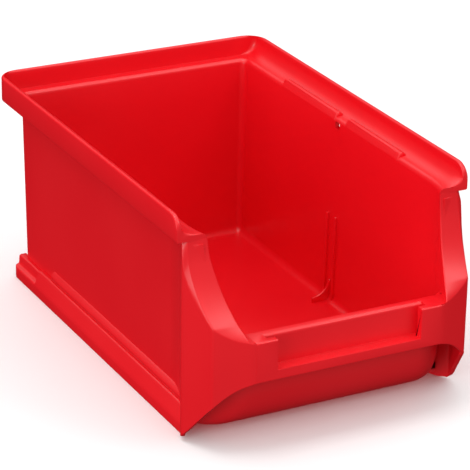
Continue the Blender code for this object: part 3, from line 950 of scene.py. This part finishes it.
class PARTSBIN_OT_rails(bpy.types.Operator):
    """Build the stacking rails along the bottom"""
    bl_idname = "parts_bin.rails"
    bl_label = "Stacking Rails"

    def execute(self, context):
        shapes = rail_shapes()
        for side, made in (("right", shapes), ("left", [flipped(s) for s in shapes])):
            make_piece(side + "_stacking_rail", made,
                       [side + "_foot_rail", side + "_rail_runner", side + "_wall_shoulder"],
                       bevel=0.3 * MM)
        return {"FINISHED"}


class PARTSBIN_OT_beads(bpy.types.Operator):
    """Build the guide beads on the stacking ledges"""
    bl_idname = "parts_bin.beads"
    bl_label = "Guide Beads"

    def execute(self, context):
        shapes = [bead_shape(node) for node in BEAD_NODES]
        make_piece("guide_beads", shapes + [flipped(s) for s in shapes],
                   both("guide_bead_front", "guide_bead_rear"))
        return {"FINISHED"}


class PARTSBIN_OT_divider_slots(bpy.types.Operator):
    """Build the divider slots: two ribs and a foot on each side wall"""
    bl_idname = "parts_bin.divider_slots"
    bl_label = "Divider Slots"

    def execute(self, context):
        tree, sockets = rib_tree()
        seed = bpy.data.objects.new("ribs", bpy.data.meshes.new("ribs"))
        context.scene.collection.objects.link(seed)
        modifier = seed.modifiers.new("Ribs", "NODES")
        modifier.node_group = tree
        low, high = span(RIB_NODES[0])
        rear = span(RIB_NODES[1])
        values = {"Height": (high.z - low.z + 2.0) * MM, "Depth": 1.6 * MM, "Width": 0.9 * MM,
                  "Spacing": ((rear[0].y + rear[1].y) - (low.y + high.y)) / 2 * MM,
                  "Lean": math.atan((DRAFT_X[1] - DRAFT_X[0]) / (LEDGE_LOW.z - FLOOR_HIGH.z))}
        for label, value in values.items():
            modifier[sockets[label]] = value
        seed = as_plain_mesh(seed)
        ribs = [v.co / MM for v in seed.data.vertices]
        faces = [tuple(f.vertices) for f in seed.data.polygons]
        bpy.data.objects.remove(seed, do_unlink=True)
        middle = (low.z + high.z) / 2 - 1.0
        shift = Vector((inner_x(middle) - 0.05, (low.y + high.y) / 2, middle))
        right = ([p + shift for p in ribs], faces)
        fin = foot_fin_shape()
        make_piece("divider_slots", [right, flipped(right), fin, flipped(fin)],
                   both("divider_rib_front", "divider_rib_rear", "divider_foot"),
                   bevel=0.25 * MM)
        return {"FINISHED"}


def rib_tree():
    """Geometry nodes: a row of two upright ribs, leaning with the side wall."""
    tree = bpy.data.node_groups.new("Divider Ribs", "GeometryNodeTree")
    sockets = {}
    for label, default in (("Height", 0.03), ("Depth", 0.0016), ("Width", 0.0009),
                           ("Spacing", 0.0055), ("Lean", 0.014)):
        sockets[label] = number_input(tree, label, default).identifier
    tree.interface.new_socket(name="Geometry", in_out="OUTPUT", socket_type="NodeSocketGeometry")
    nodes, links = tree.nodes, tree.links
    inputs = nodes.new("NodeGroupInput")
    outputs = nodes.new("NodeGroupOutput")
    line = nodes.new("GeometryNodeMeshLine")
    line.mode = "OFFSET"
    line.inputs["Count"].default_value = 2
    offset = nodes.new("ShaderNodeCombineXYZ")
    links.new(inputs.outputs["Spacing"], offset.inputs["Y"])
    links.new(offset.outputs[0], line.inputs["Offset"])
    rib = nodes.new("GeometryNodeMeshCube")
    size = nodes.new("ShaderNodeCombineXYZ")
    links.new(inputs.outputs["Depth"], size.inputs["X"])
    links.new(inputs.outputs["Width"], size.inputs["Y"])
    links.new(inputs.outputs["Height"], size.inputs["Z"])
    links.new(size.outputs[0], rib.inputs["Size"])
    lean = nodes.new("ShaderNodeCombineXYZ")
    links.new(inputs.outputs["Lean"], lean.inputs["Y"])
    place = nodes.new("GeometryNodeInstanceOnPoints")
    links.new(line.outputs["Mesh"], place.inputs["Points"])
    links.new(rib.outputs["Mesh"], place.inputs["Instance"])
    links.new(lean.outputs[0], place.inputs["Rotation"])
    realize = nodes.new("GeometryNodeRealizeInstances")
    links.new(place.outputs["Instances"], realize.inputs[0])
    finish = nodes.new("GeometryNodeSetMaterial")
    finish.inputs["Material"].default_value = moulded_plastic()
    links.new(realize.outputs[0], finish.inputs["Geometry"])
    links.new(finish.outputs["Geometry"], outputs.inputs["Geometry"])
    return tree, sockets


class PARTSBIN_OT_hook(bpy.types.Operator):
    """Build the turned-down lip that hangs the bin on a louvre"""
    bl_idname = "parts_bin.hook"
    bl_label = "Hanging Lip"

    def execute(self, context):
        make_piece("back_hanging_lip", [hook_shape()], ["hanging_lip"], bevel=0.4 * MM)
        return {"FINISHED"}


class PARTSBIN_OT_stage(bpy.types.Operator):
    """Build the pale floor, the soft lights and the camera"""
    bl_idname = "parts_bin.stage"
    bl_label = "Studio Stage"

    def execute(self, context):
        scene = context.scene
        scene.view_settings.view_transform = "Standard"
        bpy.ops.mesh.primitive_plane_add(size=6.0, location=(0.0, 0.0, 0.0))
        floor = context.object
        floor.name = "studio_floor"
        floor.data.materials.append(paper_material())
        floor.visible_glossy = False
        floor.visible_diffuse = False
        for name, place, size, power in SOFTBOXES:
            data = bpy.data.lights.new(name, "AREA")
            data.shape = "SQUARE"
            data.size = size
            data.energy = power
            lamp = bpy.data.objects.new(name, data)
            scene.collection.objects.link(lamp)
            lamp.location = place
            aim = Vector((0.0, 0.0, 0.03)) - Vector(place)
            lamp.rotation_euler = aim.to_track_quat("-Z", "Y").to_euler()
        scene.world = studio_world()
        self.place_camera(scene)
        return {"FINISHED"}

    def place_camera(self, scene):
        """A long lens from the front left, a little above the bin."""
        data = bpy.data.cameras.new("camera")
        data.sensor_width = 36.0
        data.lens = CAMERA_LENS
        data.shift_x, data.shift_y = CAMERA_SHIFT
        data.clip_start = 0.01
        camera = bpy.data.objects.new("camera", data)
        scene.collection.objects.link(camera)
        azimuth, elevation, roll = (math.radians(v) for v in CAMERA_TURN)
        back = Vector((math.sin(azimuth) * math.cos(elevation),
                       -math.cos(azimuth) * math.cos(elevation), math.sin(elevation)))
        right = Vector((math.cos(azimuth), math.sin(azimuth), 0.0))
        up = back.cross(right)
        turned = right * math.cos(roll) + up * math.sin(roll)
        raised = up * math.cos(roll) - right * math.sin(roll)
        turn = Matrix((turned, raised, back)).transposed().to_4x4()
        camera.matrix_world = Matrix.Translation(CAMERA_PLACE) @ turn
        scene.camera = camera


class PARTSBIN_PT_panel(bpy.types.Panel):
    """Sizes, plastic and building steps of the parts bin"""
    bl_idname = "PARTSBIN_PT_panel"
    bl_label = "Hanging Parts Bin"
    bl_space_type = "VIEW_3D"
    bl_region_type = "UI"
    bl_category = "Parts Bin"

    def draw(self, context):
        for group in (context.scene.parts_bin_sizes, context.scene.parts_bin_plastic):
            column = self.layout.column(align=True)
            for name in group.__annotations__:
                column.prop(group, name)
        for step in STEPS:
            self.layout.operator(step.bl_idname)


STEPS = (PARTSBIN_OT_tub, PARTSBIN_OT_corners, PARTSBIN_OT_front, PARTSBIN_OT_rails,
         PARTSBIN_OT_beads, PARTSBIN_OT_divider_slots, PARTSBIN_OT_hook, PARTSBIN_OT_stage)
CLASSES = (PartsBinSizes, PartsBinPlastic, *STEPS, PARTSBIN_PT_panel)


def register():
    """Add the bin's classes and its values on the scene."""
    for each in CLASSES:
        bpy.utils.register_class(each)
    bpy.types.Scene.parts_bin_sizes = PointerProperty(type=PartsBinSizes)
    bpy.types.Scene.parts_bin_plastic = PointerProperty(type=PartsBinPlastic)


def unregister():
    """Take them away again."""
    del bpy.types.Scene.parts_bin_plastic
    del bpy.types.Scene.parts_bin_sizes
    for each in reversed(CLASSES):
        bpy.utils.unregister_class(each)


def main():
    """Build everything."""
    register()
    bpy.ops.parts_bin.tub()
    bpy.ops.parts_bin.corners()
    bpy.ops.parts_bin.front()
    bpy.ops.parts_bin.rails()
    bpy.ops.parts_bin.beads()
    bpy.ops.parts_bin.divider_slots()
    bpy.ops.parts_bin.hook()
    bpy.ops.parts_bin.stage()


if __name__ == "__main__":
    main()
